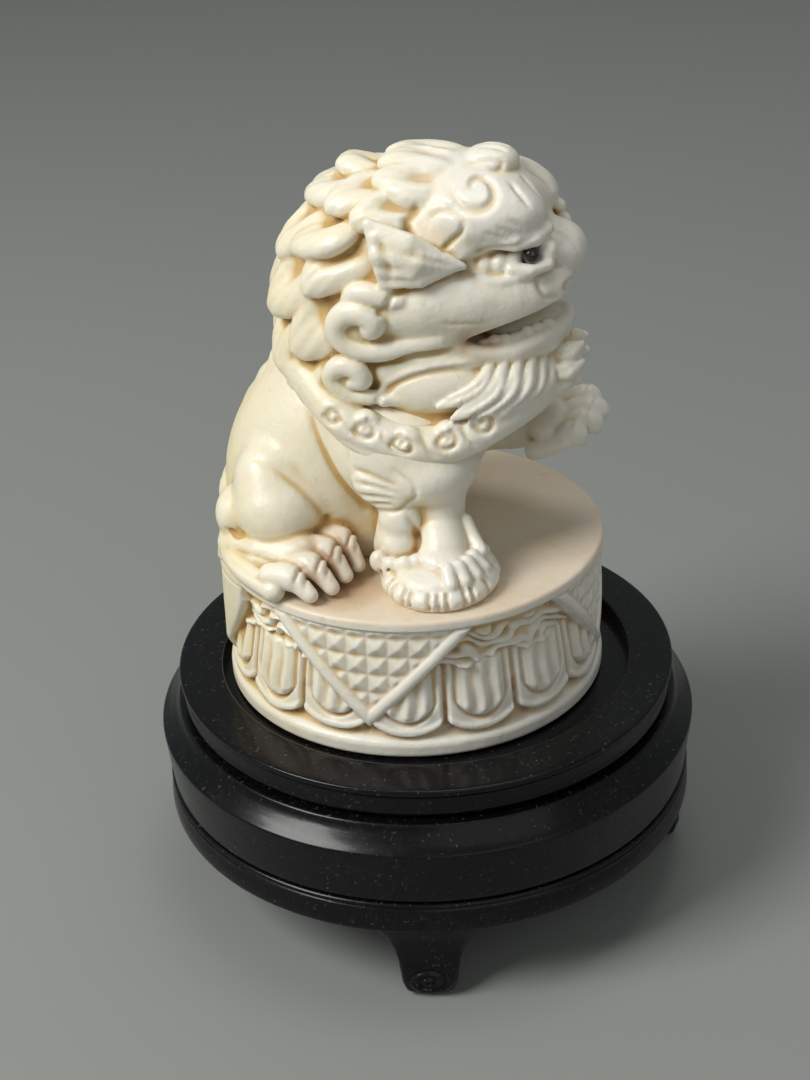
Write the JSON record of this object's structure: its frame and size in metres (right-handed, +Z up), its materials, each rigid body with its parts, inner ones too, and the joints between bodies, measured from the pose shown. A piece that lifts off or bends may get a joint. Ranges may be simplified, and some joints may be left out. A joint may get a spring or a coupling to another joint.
{
  "type": "guardian lion figurine on stand",
  "caption": "Carved seated guardian lion on a round lotus pedestal, lifting out of a turned black wooden display stand with bracket feet.",
  "frame": {"origin": "middle of the ground contact, on the turning axis of the stand", "axes": "+Z up; +X the way the lion faces; +Y towards the lion's raised left forepaw"},
  "size_m": [0.075, 0.075, 0.1044],
  "materials": {
    "ivory_coloured_carving": "satin cast resin, cream with yellow-ochre patina in the hollows",
    "eye_bead": "polished black bead",
    "black_lacquered_wood": "black lacquer, satin, slightly dusty",
    "peg_wood": "plain unfinished"
  },
  "bodies": {
    "stand": {"stand_top_ring": "black_lacquered_wood", "stand_seat_panel": "black_lacquered_wood", "stand_shoulder_ring": "black_lacquered_wood", "stand_base_ring": "black_lacquered_wood", "foot_fore": "black_lacquered_wood", "foot_left": "black_lacquered_wood", "foot_rear": "black_lacquered_wood", "foot_right": "black_lacquered_wood", "foot_dowel_fore": "peg_wood", "foot_dowel_left": "peg_wood", "foot_dowel_rear": "peg_wood", "foot_dowel_right": "peg_wood"},
    "figurine": {"lion": "ivory_coloured_carving", "lotus_pedestal": "ivory_coloured_carving", "right_eye": "eye_bead", "left_eye": "eye_bead", "figure_peg_front": "peg_wood", "figure_peg_rear": "peg_wood"}
  },
  "joints": [
    {"name": "figurine_lift", "type": "slide", "parent": "stand", "child": "figurine", "axis": [0, 0, 1], "range_m": [0, 0.03]}
  ]
}
